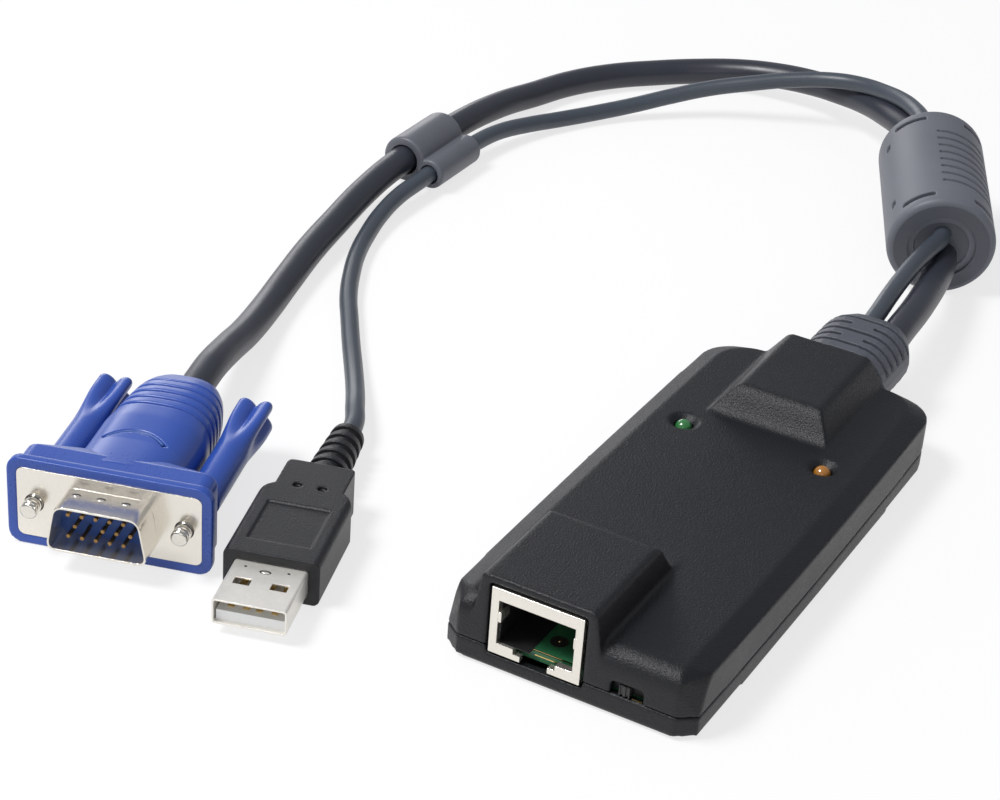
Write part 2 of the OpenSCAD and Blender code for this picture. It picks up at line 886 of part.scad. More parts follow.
relief_end = vga_route[0].y;
relief_core_in = 1.1;
relief_split_w = 4.2;
relief_pitch = 2.55;
relief_slot_rise = 2;
relief_tip_len = 4;
// Corner radius as a share of the height
relief_round_share = 0.49;

// Body of the strain relief outside the housing, drawn in by a depth
module relief_form(in) {
    rim = [relief_w - 2 * in, relief_h - 2 * in];
    tip = [relief_tip_w - 2 * in, relief_tip_h - 2 * in];
    hull() {
        front_view(rounded(rim.x, rim.y, rim.y * relief_round_share),
            rear_y, relief_end - relief_tip_len, relief_x, relief_z);
        front_view(rounded(tip.x, tip.y, tip.y * relief_round_share),
            relief_end - skin, relief_end, relief_x, relief_z);
    }
}

module strain_relief() {
    color("#55555f")
    difference() {
        union() {
            relief_form(0);
            front_view(rounded(neck_w, neck_top - neck_low, neck_r),
                rear_y - wall, rear_y + skin, relief_x, (neck_top + neck_low) / 2);
            // flange inside the rear wall, kept low so that it clears the sides of the hump
            span([relief_x - neck_w / 2 - flange_over, flange_y, neck_low],
                [relief_x + neck_w / 2, rear_y - wall - fit, neck_top - neck_r - fit]);
            span([relief_x - neck_w / 2, rear_y - wall - 2 * fit, neck_low],
                [relief_x + neck_w / 2, rear_y - wall + fit, neck_top - neck_r - fit]);
        }
        difference() {
            for (i = [1:relief_grooves])
                for (side = [-1, 1])
                    difference() {
                        y = rear_y + i * relief_pitch - relief_groove_w / 2;
                        translate([relief_x - relief_w, y, relief_z + (side - 1) * relief_h / 2
                            + side * relief_slot_rise])
                            cube([2 * relief_w, relief_groove_w, relief_h]);
                        if (i % 2 == 0)
                            span([relief_x - relief_split_w / 2, y - over, 0],
                                [relief_x + relief_split_w / 2, y + relief_groove_w + over, 2 * relief_z]);
                    }
            relief_form(relief_core_in);
        }
    }
}

// Cords

module vga_cord() {
    color("#363a46")
        swept(vga_route, vga_cord_d, vga_cord_sides);
}

module usb_cord() {
    color("#4a5262")
        swept(usb_route, usb_cord_d, usb_cord_sides);
}

ferrite_bore = 10.6;
ferrite_core_d = 17;
ferrite_core_in = 3;
ferrite_round = 1.4;
ferrite_ring_d = 15;
ferrite_ring_depth = 0.5;
ferrite_len = norm(ferrite_far - ferrite_near);

module ferrite_core() {
    color("#303030")
    along(ferrite_near, ferrite_far)
        translate([0, 0, ferrite_core_in])
            difference() {
                cylinder(d = ferrite_core_d, h = ferrite_len - 2 * ferrite_core_in);
                translate([0, 0, -over])
                    cylinder(d = ferrite_bore, h = ferrite_len);
            }
}

module ferrite_overmould() {
    r = ferrite_d / 2;
    color("#4b4b56")
    along(ferrite_near, ferrite_far)
        difference() {
            rotate_extrude()
                polygon(concat(
                    [[0, ferrite_ring_depth], [ferrite_ring_d / 2, ferrite_ring_depth], [ferrite_ring_d / 2, 0]],
                    curve([r - ferrite_round, 0], [r, 0], [r, ferrite_round]),
                    curve([r, ferrite_len - ferrite_round], [r, ferrite_len], [r - ferrite_round, ferrite_len]),
                    [[0, ferrite_len]]
                ));
            translate([0, 0, ferrite_core_in])
                cylinder(d = ferrite_core_d, h = ferrite_len - 2 * ferrite_core_in);
            translate([0, 0, -over])
                cylinder(d = ferrite_bore, h = ferrite_len + 2 * over);
        }
}

// Sleeve that holds the two cords side by side
clip_play = 0.3;
clip_round = 0.8;
module clip_lobe(from, to, d) {
    r = d / 2;
    mid = (from + to) / 2;
    start = mid - unit(to - from) * clip_len / 2;
    along(start, to)
        rotate_extrude()
            polygon(concat(
                [[0, 0]],
                curve([r - clip_round, 0], [r, 0], [r, clip_round]),
                curve([r, clip_len - clip_round], [r, clip_len], [r - clip_round, clip_len]),
                [[0, clip_len]]
            ));
}

module clip_bore(from, to, d) {
    along(from, to)
        cylinder(d = d + 2 * clip_play, h = norm(to - from));
}

module cord_clip() {
    v0 = vga_route[vga_clip_point];
    v1 = vga_route[vga_clip_point + 1];
    u0 = usb_route[usb_clip_point];
    u1 = usb_route[usb_clip_point + 1];
    web_low = u0.z - usb_cord_d / 2 - clip_play;
    color("#4b4b56")
    difference() {
        union() {
            clip_lobe(v0, v1, clip_big_d);
            clip_lobe(u0, u1, clip_small_d);
            translate([v0.x, (v0.y + v1.y) / 2 - clip_len / 2 + clip_round, web_low])
                cube([u0.x - v0.x, clip_len - 2 * clip_round, u0.z + clip_small_d / 2 - clip_round - web_low]);
        }
        clip_bore(v0, v1, vga_cord_d);
        clip_bore(u0, u1, usb_cord_d);
    }
}

// Video plug, drawn with its flange's front centre at the origin and the cord behind it

vga_end = vga_route[len(vga_route) - 1];
rim_t = 1.6;
rim_r = 2.4;
flange_plate_t = 0.8;
flange_plate_r = 1.2;
block_w = 32;
block_h = 14.6;
block_len = 6;
block_slope = 2.6;
block_r = 2;
hood_waist_w = 15.6;
hood_waist_h = 12.4;
hood_waist_y = 33;
hood_tail_w = 14.2;
hood_tail_h = 11.2;
hood_end_w = 11;
hood_end_h = 9.2;
hood_straight = 18;
hood_tail_len = 2.4;
hood_groove_y = 24;
hood_groove_w = 0.9;
hood_groove_depth = 1;
hood_groove_pitch = 2.3;
hood_grooves = 5;
hood_side_in = 1.4;
shank_play = 0.3;
thread_pitch = 0.635;
thread_depth = 0.38;
flange_hole_d = 3.2;
shell_wall = 0.4;
shell_lean = 10;
shell_r = 1.9;
insulator_front = 0.6;
pin_d = 1;
pin_tip_in = 0.6;
pin_hole_depth = 1.5;
knob_gap = 0.3;
knob_front = block_len + block_slope + knob_gap;
knob_rear = 38;
knob_head_y = 26;
flute_d = 3;
flute_in = 0.7;
shank_round = 0.8;

module at_vga_plug() {
    translate(vga_end)
        rotate(vga_yaw)
            translate([0, -vga_hood_len, 0])
                children();
}

// Corner rounded between two edges, each corner being a point, as part of a closed outline
function rounded_corner(prev, p, next, r) = let (a = unit(prev - p), b = unit(next - p))
    curve(p + a * r, p, p + b * r);

// D outline with its wide side down, drawn in by a depth
function d_outline(in) = let (
    h = vga_shell_h / 2 - in,
    wide = vga_shell_w / 2 - in,
    narrow = wide - 2 * h * tan(shell_lean),
    c = [[-wide, -h], [wide, -h], [narrow, h], [-narrow, h]]
) [for (i = [0:3]) each rounded_corner(c[(i + 3) % 4], c[i], c[(i + 1) % 4], shell_r - in)];

// Cross section of the hood, drawn in by a depth
module hood_slab(w, h, in, y0, y1) {
    front_view(rounded(w - 2 * in, h - 2 * in, (h - 2 * in) * relief_round_share), y0, y1);
}

module hood_form(in) {
    hull() {
        hood_slab(vga_hood_w, vga_hood_h, in, block_len, hood_straight);
        hood_slab(vga_hood_w - hood_side_in, vga_hood_h - hood_side_in / 2, in,
            hood_groove_y, hood_groove_y + skin);
        hood_slab(hood_waist_w, hood_waist_h, in, hood_waist_y, hood_waist_y + skin);
        hood_slab(hood_tail_w, hood_tail_h, in, vga_hood_len - hood_tail_len - skin,
            vga_hood_len - hood_tail_len);
        hood_slab(hood_end_w, hood_end_h, in, vga_hood_len - skin, vga_hood_len);
    }
}

module vga_hood() {
    color("#2b4fc4")
    at_vga_plug()
        difference() {
            union() {
                difference() {
                    front_view(rounded(vga_rim_w, vga_rim_h, rim_r), 0, rim_t);
                    front_view(rounded(vga_flange_w, vga_flange_h, flange_plate_r), -over, flange_plate_t);
                }
                hull() {
                    front_view(rounded(block_w, block_h, block_r), rim_t, block_len);
                    front_view(rounded(vga_hood_w, block_h - block_r, block_r),
                        block_len, block_len + block_slope);
                }
                hood_form(0);
            }
            difference() {
                for (i = [0:hood_grooves - 1])
                    translate([-vga_hood_w, hood_groove_y + i * hood_groove_pitch, -vga_hood_w])
                        cube([2 * vga_hood_w, hood_groove_w, 2 * vga_hood_w]);
                hood_form(hood_groove_depth);
            }
            // recess behind the shell and the insulator
            front_view(d_outline(0), -over, block_len - rim_t);
            for (side = [-1, 1])
                rod_y(side * jackscrew_span / 2, 0, jackscrew_d + 2 * shank_play, -over, knob_front + over);
        }
}

module vga_shell() {
    color("silver")
    at_vga_plug()
        difference() {
            union() {
                front_view(rounded(vga_flange_w, vga_flange_h, flange_plate_r), 0, flange_plate_t);
                front_view(d_outline(0), -vga_shell_len, block_len - rim_t);
            }
            front_view(d_outline(shell_wall), -vga_shell_len - over, block_len);
            for (side = [-1, 1])
                rod_y(side * jackscrew_span / 2, 0, flange_hole_d, -over, over);
        }
}

// Places of the pins in their three rows, the middle row shifted by half a pitch
pin_row_shares = [[-1, -1 / 4], [0, 1 / 4], [1, -1 / 4]];
function pin_x(i, row) = (i - 2) * vga_pitch + row[1] * vga_pitch;

module vga_insulator() {
    color("#23306b")
    at_vga_plug()
        difference() {
            front_view(d_outline(shell_wall), -insulator_front, block_len - rim_t);
            rod_y(pin_x(1, pin_row_shares[1]), 0, pin_d, -insulator_front - over,
                pin_hole_depth - insulator_front);
        }
}

module vga_pins() {
    color("gold")
    at_vga_plug()
        for (row = pin_row_shares)
            for (i = [0:4])
                if (row[0] != 0 || i != 1)
                    rod_y(pin_x(i, row), -row[0] * vga_row_pitch, pin_d,
                        -vga_shell_len + pin_tip_in, -insulator_front);
}

// Threaded bar, with its ridges as closed rings
module jackscrew(side) {
    r = jackscrew_d / 2;
    ridges = floor((jackscrew_tip - thread_pitch) / thread_pitch);
    color("silver")
    at_vga_plug()
        translate([side * jackscrew_span / 2, -jackscrew_tip, 0])
            rotate([-90, 0, 0])
                rotate_extrude()
                    polygon(concat(
                        [[0, 0], [r - thread_depth, 0]],
                        [for (i = [0:ridges - 1]) each [
                            [r, (i + 1 / 2) * thread_pitch],
                            [r - thread_depth, (i + 1) * thread_pitch]
                        ]],
                        [[r, (ridges + 1 / 2) * thread_pitch], [r, knob_rear + jackscrew_tip - knob_head_r]],
                        [[0, knob_rear + jackscrew_tip - knob_head_r]]
                    ));
}

knob_head_r = knob_head_d / 2;
module knob(side) {
    r = knob_shank_d / 2;
    color("#2b4fc4")
    at_vga_plug()
        translate([side * jackscrew_span / 2, 0, 0])
            rotate([-90, 0, 0])
                difference() {
                    rotate_extrude()
                        polygon(concat(
                            curve([r - shank_round, knob_front], [r, knob_front], [r, knob_front + shank_round]),
                            [[r, knob_head_y]],
                            [[knob_head_r, knob_head_y + knob_head_r - r]],
                            curve([knob_head_r, knob_rear - shank_round], [knob_head_r, knob_rear],
                                [knob_head_r - shank_round, knob_rear]),
                            [[0, knob_rear], [0, knob_front]]
                        ));
                    translate([0, 0, knob_front - over])
                        cylinder(d = jackscrew_d + 2 * knob_bore_play,
                            h = knob_rear - knob_head_r - knob_front + over + knob_bore_play);
                    for (turn = [45:90:315])
                        rotate(turn)
                            translate([knob_head_r + flute_d / 2 - flute_in, 0, knob_head_y + knob_head_r - r])
                                cylinder(d = flute_d, h = knob_rear);
                }
}
knob_bore_play = 0.05;

module left_jackscrew() {
    jackscrew(-1);
}

module right_jackscrew() {
    jackscrew(1);
}

module left_knob() {
    knob(-1);
}

module right_knob() {
    knob(1);
}

// Data plug, drawn with its shell's front centre at the origin and the cord behind it

usb_end = usb_route[len(usb_route) - 1];
usb_shell_t = 0.32;
usb_shell_r = 0.5;
usb_shell_seat = 6;
usb_body_r = 1.2;
usb_shoulder = 1.6;
usb_tongue_t = 1.9;
usb_tongue_in = 0.7;
usb_window = [2.7, 1.8];
usb_window_x = 3;
usb_window_y = 5;
usb_contact_w = 1;
usb_contact_x_shares = [-1, -0.29, 0.29, 1];
usb_contact_span = 7;
usb_contact_t = 0.25;
usb_contact_len = 7.5;
usb_contact_in = 1.2;
usb_panel_in = 2.6;
usb_panel_depth = 0.25;
usb_hole_d = 1.5;
usb_hole_x = 2.1;
usb_hole_y = 32.3;
usb_hole_depth = 0.6;
usb_rib_share = 0.55;
usb_rib_depth = 0.7;
usb_body_y = usb_shell_len;
usb_neck_y = usb_body_y + usb_body_len;
usb_boot_y = usb_neck_y + usb_neck_len;
usb_plug_len = usb_boot_y + usb_boot_len;

module at_usb_plug() {
    translate(usb_end)
        rotate(usb_yaw)
            translate([0, -usb_plug_len, 0])
                children();
}

// Radius of the ribbed boot at a place along it
function boot_r(y) = (usb_boot_d + (usb_boot_tip_d - usb_boot_d) * (y - usb_boot_y) / usb_boot_len) / 2;

module usb_overmould() {
    pitch = usb_boot_len / (usb_ribs + 1 / 2);
    half = usb_body_w / 2;
    neck = usb_neck_w / 2;
    color("#232427")
    at_usb_plug() {
        difference() {
            intersection() {
                front_view(rounded(usb_body_w, usb_body_h, usb_body_r), usb_body_y, usb_boot_y);
                translate([0, 0, -usb_body_h])
                    linear_extrude(height = 2 * usb_body_h)
                        polygon(concat(
                            [[-half, usb_body_y], [half, usb_body_y]],
                            curve([half, usb_neck_y - usb_shoulder], [half, usb_neck_y],
                                [neck, usb_neck_y + usb_shoulder]),
                            curve([neck, usb_boot_y - usb_body_r], [neck, usb_boot_y],
                                [neck - usb_body_r, usb_boot_y]),
                            curve([-neck + usb_body_r, usb_boot_y], [-neck, usb_boot_y],
                                [-neck, usb_boot_y - usb_body_r]),
                            curve([-neck, usb_neck_y + usb_shoulder], [-half, usb_neck_y],
                                [-half, usb_neck_y - usb_shoulder])
                        ));
            }
            front_view(rounded(usb_shell_w, usb_shell_h, usb_shell_r),
                usb_body_y - over, usb_body_y + usb_shell_seat);
            translate([-half + usb_panel_in, usb_body_y + usb_panel_in + usb_panel_in / 2,
                usb_body_h / 2 - usb_panel_depth])
                cube([usb_body_w - 2 * usb_panel_in, usb_body_len - 3 * usb_panel_in, usb_body_h]);
            for (side = [-1, 1])
                translate([side * usb_hole_x, usb_hole_y, usb_body_h / 2 - usb_hole_depth])
                    cylinder(d = usb_hole_d, h = usb_body_h);
        }
        translate([0, usb_boot_y, 0])
            rotate([-90, 0, 0])
                rotate_extrude()
                    polygon(concat(
                        [[0, 0], [boot_r(usb_boot_y), 0]],
                        [for (i = [0:usb_ribs - 1])
                            let (y0 = i * pitch + pitch * usb_rib_share, r = boot_r(usb_boot_y + y0))
                                each [[r, y0], [r - usb_rib_depth, y0], [r - usb_rib_depth, (i + 1) * pitch],
                                    [r, (i + 1) * pitch]]],
                        [[boot_r(usb_plug_len), usb_boot_len], [0, usb_boot_len]]
                    ));
    }
}

module usb_shell() {
    color("silver")
    at_usb_plug()
        difference() {
            front_view(rounded(usb_shell_w, usb_shell_h, usb_shell_r), 0, usb_body_y + usb_shell_seat);
            front_view(rounded(usb_shell_w - 2 * usb_shell_t, usb_shell_h - 2 * usb_shell_t,
                usb_shell_r - usb_shell_t / 2), -over, usb_body_y + usb_shell_seat + over);
            for (side = [-1, 1])
                translate([side * usb_window_x - usb_window.x / 2, usb_window_y, -usb_shell_h])
                    cube([usb_window.x, usb_window.y, 2 * usb_shell_h]);
        }
}

usb_inner_w = usb_shell_w - 2 * usb_shell_t;
usb_inner_z = usb_shell_h / 2 - usb_shell_t;
module usb_tongue() {
    color("white")
    at_usb_plug()
        union() {
            span([-usb_inner_w / 2 + 2 * fit, usb_tongue_in, -usb_inner_z],
                [usb_inner_w / 2 - 2 * fit, usb_body_y, -usb_inner_z + usb_tongue_t]);
            span([-usb_inner_w / 2 + 2 * fit, usb_body_y, -usb_inner_z],
                [usb_inner_w / 2 - 2 * fit, usb_body_y + usb_shell_seat, usb_inner_z]);
        }
}

module usb_contacts() {
    color("gold")
    at_usb_plug()
        for (i = [0:3])
            translate([usb_contact_x_shares[i] * usb_contact_span / 2 - usb_contact_w / 2,
                usb_tongue_in + usb_contact_in, usb_tongue_t - usb_inner_z])
                cube([usb_contact_w, usb_contact_len, usb_contact_t]);
}

top_cover();
bottom_cover();
cover_screws();
main_board();
jack_shield();
jack_insert();
jack_contacts();
link_led();
power_led();
controller_chip();
video_chip();
memory_chip();
crystal();
board_parts();
vga_header();
usb_header();
vga_leads();
usb_leads();
switch_body();
switch_slider();
strain_relief();
vga_cord();
usb_cord();
ferrite_core();
ferrite_overmould();
cord_clip();
vga_hood();
vga_shell();
vga_insulator();
vga_pins();
left_jackscrew();
right_jackscrew();
left_knob();
right_knob();
usb_overmould();
usb_shell();
usb_tongue();
usb_contacts();
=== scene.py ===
import bpy
import bmesh
import json
import math
from mathutils import Matrix, Vector

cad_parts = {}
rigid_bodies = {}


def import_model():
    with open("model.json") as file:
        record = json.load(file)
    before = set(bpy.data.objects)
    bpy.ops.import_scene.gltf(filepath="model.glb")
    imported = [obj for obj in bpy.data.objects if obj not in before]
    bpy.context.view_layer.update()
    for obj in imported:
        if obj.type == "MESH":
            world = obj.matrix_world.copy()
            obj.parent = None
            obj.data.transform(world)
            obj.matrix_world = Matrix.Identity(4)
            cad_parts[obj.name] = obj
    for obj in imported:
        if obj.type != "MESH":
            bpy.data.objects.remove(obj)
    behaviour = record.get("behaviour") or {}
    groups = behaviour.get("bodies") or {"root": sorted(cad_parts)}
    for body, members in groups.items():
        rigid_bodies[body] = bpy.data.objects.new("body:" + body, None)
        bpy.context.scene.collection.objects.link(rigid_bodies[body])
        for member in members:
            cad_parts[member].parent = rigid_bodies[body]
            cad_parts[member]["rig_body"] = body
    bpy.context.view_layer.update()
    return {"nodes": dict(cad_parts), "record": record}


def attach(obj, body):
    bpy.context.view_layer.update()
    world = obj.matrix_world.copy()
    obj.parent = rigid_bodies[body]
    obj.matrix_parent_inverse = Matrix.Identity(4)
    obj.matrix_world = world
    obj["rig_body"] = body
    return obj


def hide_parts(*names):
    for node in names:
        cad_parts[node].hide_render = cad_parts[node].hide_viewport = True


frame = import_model()
nodes = frame["nodes"]
scene = bpy.context.scene
MM = 0.001
UP = Vector((0, 0, 1))


def axes_matrix(x, y, z, origin):
    """The matrix with these columns"""
    m = Matrix.Identity(4)
    for column, axis in enumerate((x, y, z, origin)):
        for row in range(3):
            m[row][column] = axis[row]
    return m


# Camera
image_width = 1000
sensor_width = 36
focal_pixels = 2512.05
distance = 452.211
azimuth = math.radians(27.234)
elevation = math.radians(30.459)
roll = math.radians(4.307)
target = Vector((-50.862, 22.129, 0)) * MM
back = Vector((
    math.sin(azimuth) * math.cos(elevation),
    -math.cos(azimuth) * math.cos(elevation),
    math.sin(elevation),
))
side = (-back).cross(UP).normalized()
upward = side.cross(-back)
camera_data = bpy.data.cameras.new("camera")
camera_data.sensor_width = sensor_width
camera_data.lens = focal_pixels * sensor_width / image_width
camera_data.clip_start = 0.01
camera = bpy.data.objects.new("camera", camera_data)
scene.collection.objects.link(camera)
camera.matrix_world = axes_matrix(
    side * math.cos(roll) + upward * math.sin(roll),
    upward * math.cos(roll) - side * math.sin(roll),
    back,
    target + back * distance * MM,
)
scene.camera = camera

# Cord routes, as in the part's source
vga_route = [
    [5.7, 66, 10.8], [5.4, 71, 10.9], [4.9, 79, 10.6], [3.9, 88, 10], [2.7, 96, 9.2], [1.4, 103, 8.7],
    [0, 108, 8.6], [-15.5, 141, 11.8], [-17.2, 144.6, 12], [-22.5, 152.4, 11.6], [-28, 158, 11],
    [-34, 163.8, 10.1], [-41, 169.6, 9], [-49, 174.2, 7.7], [-58, 177.3, 6.6], [-67, 178.1, 5.6],
    [-75.5, 177, 4.6], [-84, 173.6, 3.6], [-92, 167.6, 3.1], [-99.5, 159.4, 3], [-105, 150, 3],
    [-108.5, 139, 3.2], [-110.5, 127, 4.4], [-111.4, 108, 5.6], [-111.4, 84, 5.6], [-110.6, 71, 5],
    [-109, 58, 4], [-107, 46, 3.5], [-104, 33, 3.1], [-100.8, 21, 3.2], [-97.3, 9, 4.5],
    [-94.6, -0.5, 6.4], [-92, -9.2, 7.9], [-90.8, -13.2, 8.1], [-88.4, -21.3, 8.1]
]
usb_route = [
    [1, 66, 12.6], [0.7, 71, 12.9], [0, 79, 13.1], [-0.6, 87, 13.1], [-0.9, 94, 13.1],
    [-0.8, 101, 13.2], [-0.7, 108, 13.4], [-16.2, 141, 16.6], [-18, 144.6, 16.7], [-21.8, 151.2, 16.5],
    [-26.5, 157.8, 15.7], [-31, 162.3, 14.9], [-36, 165.8, 14], [-42.4, 168.6, 13.1],
    [-49.5, 169.2, 12.1], [-58, 166.9, 10.7], [-66.5, 163, 8.9], [-74.5, 158.8, 7], [-81.5, 153.5, 5],
    [-87.5, 147.8, 3.3], [-93, 141, 2.4], [-98, 132.5, 2.4], [-101.6, 124.5, 3], [-104.2, 116, 3.7],
    [-105.2, 108, 3.9], [-105.2, 84, 3.9], [-105.3, 76, 3.6], [-104.6, 68, 2.8], [-102.8, 60, 2.1],
    [-100.1, 52, 1.9], [-96.4, 44, 1.9], [-92, 36, 1.9], [-87, 28.5, 1.9], [-81.7, 20.7, 1.9],
    [-76.2, 12.8, 2.2], [-70.9, 4.9, 3], [-67.2, -1.1, 3.9], [-64.5, -5.6, 4.1], [-62.8, -10.3, 4.1]
]


# Where the plugs lie
vga_turn = math.radians(16.7)
usb_turn = math.radians(16.6)
vga_front = (-77.366, -58.08, 8.1)
usb_plug_len = 55.5
ferrite_near = (-0.5, 108, 10.8)
ferrite_far = (-16, 141, 14)


def moved(offset):
    return Matrix.Translation(Vector(offset) * MM)


def axis_place(near, far):
    """Local Y runs from near to far, local Z stays as upright as it can"""
    y = (Vector(far) - Vector(near)).normalized()
    x = y.cross(UP).normalized()
    return axes_matrix(x, y, x.cross(y), Vector(near) * MM)


vga_place = moved(vga_front) @ Matrix.Rotation(vga_turn, 4, "Z")
usb_place = moved(usb_route[-1]) @ Matrix.Rotation(usb_turn, 4, "Z") @ moved((0, -usb_plug_len, 0))
ferrite_place = axis_place(ferrite_near, ferrite_far)


# Materials
def add_node(tree, kind, values=None, operation=None):
    """A shader node with the values of some of its inputs"""
    made = tree.nodes.new(kind)
    if operation:
        made.operation = operation
    for key, value in (values or {}).items():
        made.inputs[key].default_value = value
    return made


def material(name, color, rough, metallic=0.0, grain=0.0, grain_size=0.25, vary=0.12, rough_vary=0.06,
             coat=0.0, transmission=0.0, specular=0.5, threads=False):
    """A finish with broad and fine mottling in its colour and gloss, and a fine grain or threads in its relief"""
    mat = bpy.data.materials.new(name)
    mat.use_nodes = True
    tree = mat.node_tree
    links = tree.links
    low, high = 0.3, 0.7
    patch = 18
    broad_share = 0.55
    shader = tree.nodes["Principled BSDF"]
    for key, value in (("Metallic", metallic), ("Coat Weight", coat), ("Coat Roughness", 0.25),
                       ("Transmission Weight", transmission), ("Specular IOR Level", specular)):
        shader.inputs[key].default_value = value
    place = add_node(tree, "ShaderNodeTexCoord")
    broad = add_node(tree, "ShaderNodeTexNoise", {"Scale": 1 / (patch * MM), "Detail": 4})
    fine = add_node(tree, "ShaderNodeTexNoise", {"Scale": 1 / (grain_size * MM), "Detail": 3, "Roughness": 0.6})
    links.new(place.outputs["Object"], broad.inputs["Vector"])
    links.new(place.outputs["Object"], fine.inputs["Vector"])
    part = add_node(tree, "ShaderNodeMath", {1: 1 - broad_share}, "MULTIPLY")
    links.new(fine.outputs["Fac"], part.inputs[0])
    both = add_node(tree, "ShaderNodeMath", {1: broad_share}, "MULTIPLY_ADD")
    links.new(broad.outputs["Fac"], both.inputs[0])
    links.new(part.outputs[0], both.inputs[2])
    ramp = add_node(tree, "ShaderNodeValToRGB")
    for stop, at, factor in zip(ramp.color_ramp.elements, (low, high), (1 - vary, 1 + vary)):
        stop.position = at
        stop.color = (*[min(1, c * factor) for c in color], 1)
    links.new(both.outputs[0], ramp.inputs["Fac"])
    links.new(ramp.outputs["Color"], shader.inputs["Base Color"])
    spread = add_node(tree, "ShaderNodeMapRange", {
        "From Min": low, "From Max": high,
        "To Min": max(0.02, rough - rough_vary), "To Max": min(1, rough + rough_vary),
    })
    links.new(both.outputs[0], spread.inputs["Value"])
    links.new(spread.outputs["Result"], shader.inputs["Roughness"])
    if grain:
        bump = add_node(tree, "ShaderNodeBump", {"Strength": 1, "Distance": grain * MM})
        height = fine
        if threads:
            turned = add_node(tree, "ShaderNodeMapping", {"Rotation": (0, 0, -vga_turn)})
            height = add_node(tree, "ShaderNodeTexWave", {"Scale": 440})
            height.bands_direction = "Y"
            links.new(place.outputs["Object"], turned.inputs["Vector"])
            links.new(turned.outputs["Vector"], height.inputs["Vector"])
        links.new(height.outputs["Fac"], bump.inputs["Height"])
        links.new(bump.outputs["Normal"], shader.inputs["Normal"])
    return mat


finishes = {
    "housing_plastic": dict(color=(0.0062, 0.0067, 0.0086), rough=0.4, grain=0.13, grain_size=0.34, vary=0.25,
                            rough_vary=0.07, specular=0.36),
    "screw_steel": dict(color=(0.03, 0.03, 0.032), rough=0.4, metallic=0.6, grain=0.01),
    "board_laminate": dict(color=(0.02, 0.12, 0.05), rough=0.4, grain=0.01, grain_size=0.6, coat=0.3),
    "bright_nickel": dict(color=(0.82, 0.78, 0.71), rough=0.24, metallic=0.9, grain=0.0006, grain_size=0.5,
                          vary=0.05, rough_vary=0.05),
    "satin_nickel": dict(color=(0.84, 0.81, 0.75), rough=0.34, metallic=0.6, grain=0.0004, grain_size=0.6,
                         vary=0.06, rough_vary=0.06),
    "insert_plastic": dict(color=(0.012, 0.012, 0.013), rough=0.45, grain=0.01),
    "contact_gold": dict(color=(0.86, 0.62, 0.26), rough=0.2, metallic=1, grain=0.001, vary=0.08),
    "green_lens": dict(color=(0.03, 0.2, 0.05), rough=0.12, coat=0.8, transmission=0.2, vary=0.1),
    "amber_lens": dict(color=(0.42, 0.17, 0.02), rough=0.12, coat=0.8, transmission=0.2, vary=0.1),
    "chip_plastic": dict(color=(0.015, 0.015, 0.016), rough=0.5, grain=0.01),
    "ceramic_body": dict(color=(0.35, 0.26, 0.17), rough=0.5, grain=0.01),
    "header_plastic": dict(color=(0.72, 0.69, 0.60), rough=0.5, grain=0.01),
    "lead_jacket": dict(color=(0.10, 0.10, 0.11), rough=0.5, grain=0.01),
    "slider_plastic": dict(color=(0.02, 0.02, 0.021), rough=0.4, grain=0.01),
    "boot_rubber": dict(color=(0.072, 0.077, 0.094), rough=0.5, grain=0.025, grain_size=0.3, vary=0.2),
    "overmould_rubber": dict(color=(0.12, 0.125, 0.148), rough=0.5, grain=0.012, grain_size=0.3),
    "clip_rubber": dict(color=(0.108, 0.112, 0.132), rough=0.42, grain=0.008),
    "thick_cord_jacket": dict(color=(0.026, 0.028, 0.04), rough=0.38, grain=0.006, grain_size=0.5, vary=0.15),
    "thin_cord_jacket": dict(color=(0.048, 0.058, 0.074), rough=0.38, grain=0.006, grain_size=0.5, vary=0.15),
    "ferrite_ceramic": dict(color=(0.05, 0.05, 0.05), rough=0.5, grain=0.01),
    "blue_plastic": dict(color=(0.024, 0.07, 0.34), rough=0.3, grain=0.004, grain_size=0.4, vary=0.08,
                         rough_vary=0.05),
    "dark_blue_plastic": dict(color=(0.022, 0.075, 0.3), rough=0.4, grain=0.006),
    "plug_plastic": dict(color=(0.0085, 0.009, 0.011), rough=0.42, grain=0.08, grain_size=0.3, vary=0.2,
                         specular=0.4),
    # Gold darkened to brown for the video plug's pins: painted shade, as the pins stand deep inside the shell
    "pin_gold": dict(color=(0.3, 0.18, 0.07), rough=0.3, metallic=1, grain=0.001, vary=0.15),
    "screw_nickel": dict(color=(0.75, 0.72, 0.66), rough=0.2, metallic=1, grain=0.16, threads=True),
    "white_plastic": dict(color=(0.78, 0.78, 0.76), rough=0.4, grain=0.004, vary=0.03),
}
mats = {name: material(name, **finish) for name, finish in finishes.items()}
slots = {entry["node"]: entry["material_slot"] for entry in frame["record"]["subparts"]}
for name, obj in nodes.items():
    obj.data.materials.clear()
    obj.data.materials.append(mats[slots[name]])
for name in ("left_jackscrew", "right_jackscrew"):
    nodes[name].data.materials[0] = mats["screw_nickel"]


# Cords
def cord(name, route, diameter, slot, node):
    curve = bpy.data.curves.new(name, "CURVE")
    curve.dimensions = "3D"
    curve.bevel_depth = diameter / 2 * MM
    curve.bevel_resolution = 7
    curve.resolution_u = 8
    curve.use_fill_caps = True
    spline = curve.splines.new("BEZIER")
    spline.bezier_points.add(len(route) - 1)
    for point, place in zip(spline.bezier_points, route):
        point.co = Vector(place) * MM
        point.handle_left_type = "AUTO"
        point.handle_right_type = "AUTO"
    obj = bpy.data.objects.new(name, curve)
    scene.collection.objects.link(obj)
    curve.materials.append(mats[slot])
    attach(obj, "module")
    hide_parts(node)
    return obj


thick = cord("thick_cord", vga_route, 5.8, "thick_cord_jacket", "vga_cord")
thin = cord("thin_cord", usb_route, 3.5, "thin_cord_jacket", "usb_cord")


# Pieces
weld_gap = 0.002


